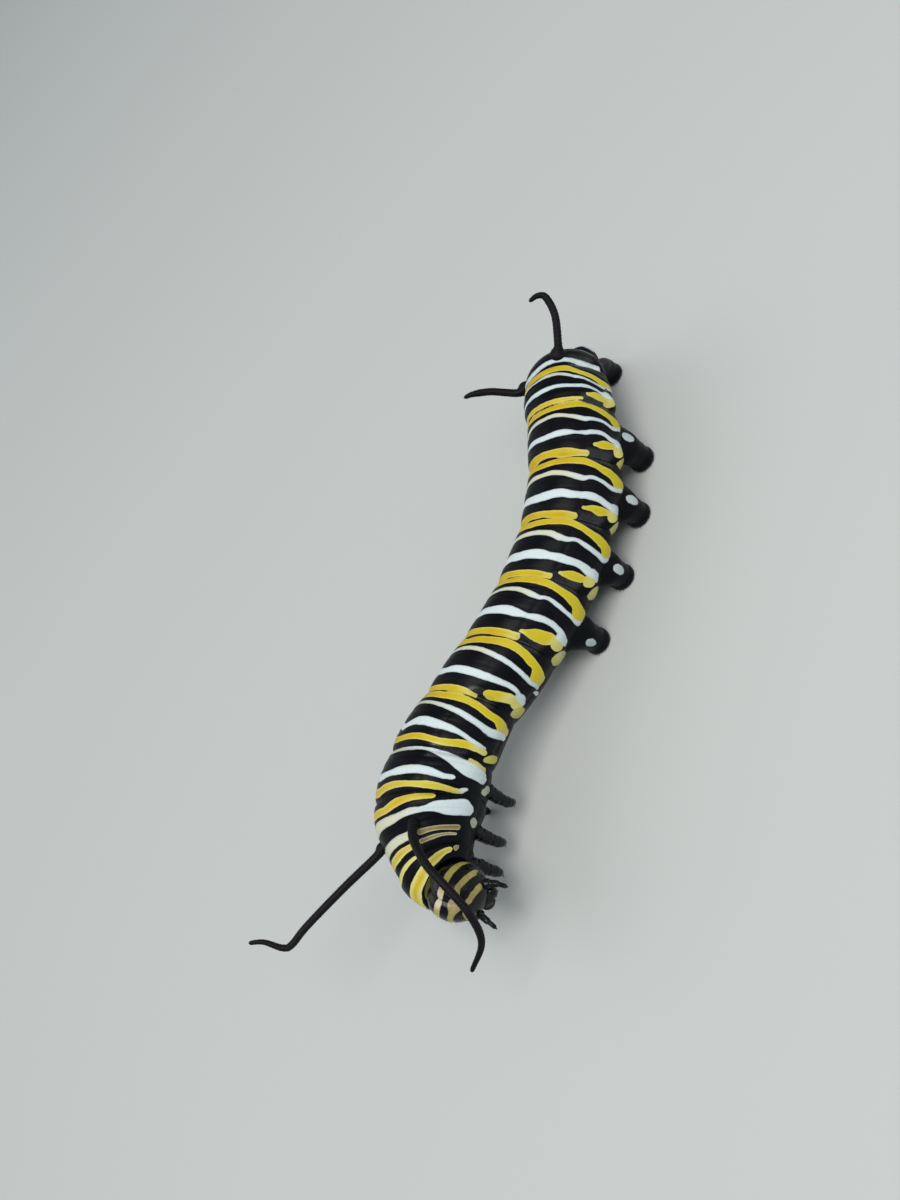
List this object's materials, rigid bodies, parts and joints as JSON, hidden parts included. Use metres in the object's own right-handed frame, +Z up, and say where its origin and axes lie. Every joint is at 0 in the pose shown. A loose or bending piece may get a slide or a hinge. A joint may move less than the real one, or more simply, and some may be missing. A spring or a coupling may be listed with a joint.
{
  "type": "monarch larva model",
  "caption": "Life-size larva at rest, banded in black, yellow and white, body bent in a slow curve, with soft black filaments in front and behind and stubby legs under it.",
  "frame": {"origin": "middle of the overall box at the floor, which the feet stand on", "axes": "+Z up along the upright, +Y from head to tail, +X to the animal's left"},
  "size_m": [0.013, 0.0393, 0.0094],
  "materials": {
    "skin": "satin soft skin, banded black, yellow and white",
    "capsule": "shiny black shell with pale arches",
    "antenna": "dark satin",
    "filament": "matt purple-black, fleshy",
    "leg": "shiny black",
    "proleg": "satin black, fleshy"
  },
  "bodies": {
    "root": {"head": "capsule", "antenna_left": "antenna", "antenna_right": "antenna", "prothorax": "skin", "mesothorax": "skin", "metathorax": "skin", "abdomen_1": "skin", "abdomen_2": "skin", "abdomen_3": "skin", "abdomen_4": "skin", "abdomen_5": "skin", "abdomen_6": "skin", "abdomen_7": "skin", "abdomen_8": "skin", "abdomen_9_10": "skin", "filament_front_left": "filament", "filament_front_right": "filament", "filament_rear_left": "filament", "filament_rear_right": "filament", "leg_t1_left": "leg", "leg_t1_right": "leg", "leg_t2_left": "leg", "leg_t2_right": "leg", "leg_t3_left": "leg", "leg_t3_right": "leg", "proleg_a3_left": "proleg", "proleg_a3_right": "proleg", "proleg_a4_left": "proleg", "proleg_a4_right": "proleg", "proleg_a5_left": "proleg", "proleg_a5_right": "proleg", "proleg_a6_left": "proleg", "proleg_a6_right": "proleg", "proleg_anal_left": "proleg", "proleg_anal_right": "proleg"}
  },
  "joints": []
}
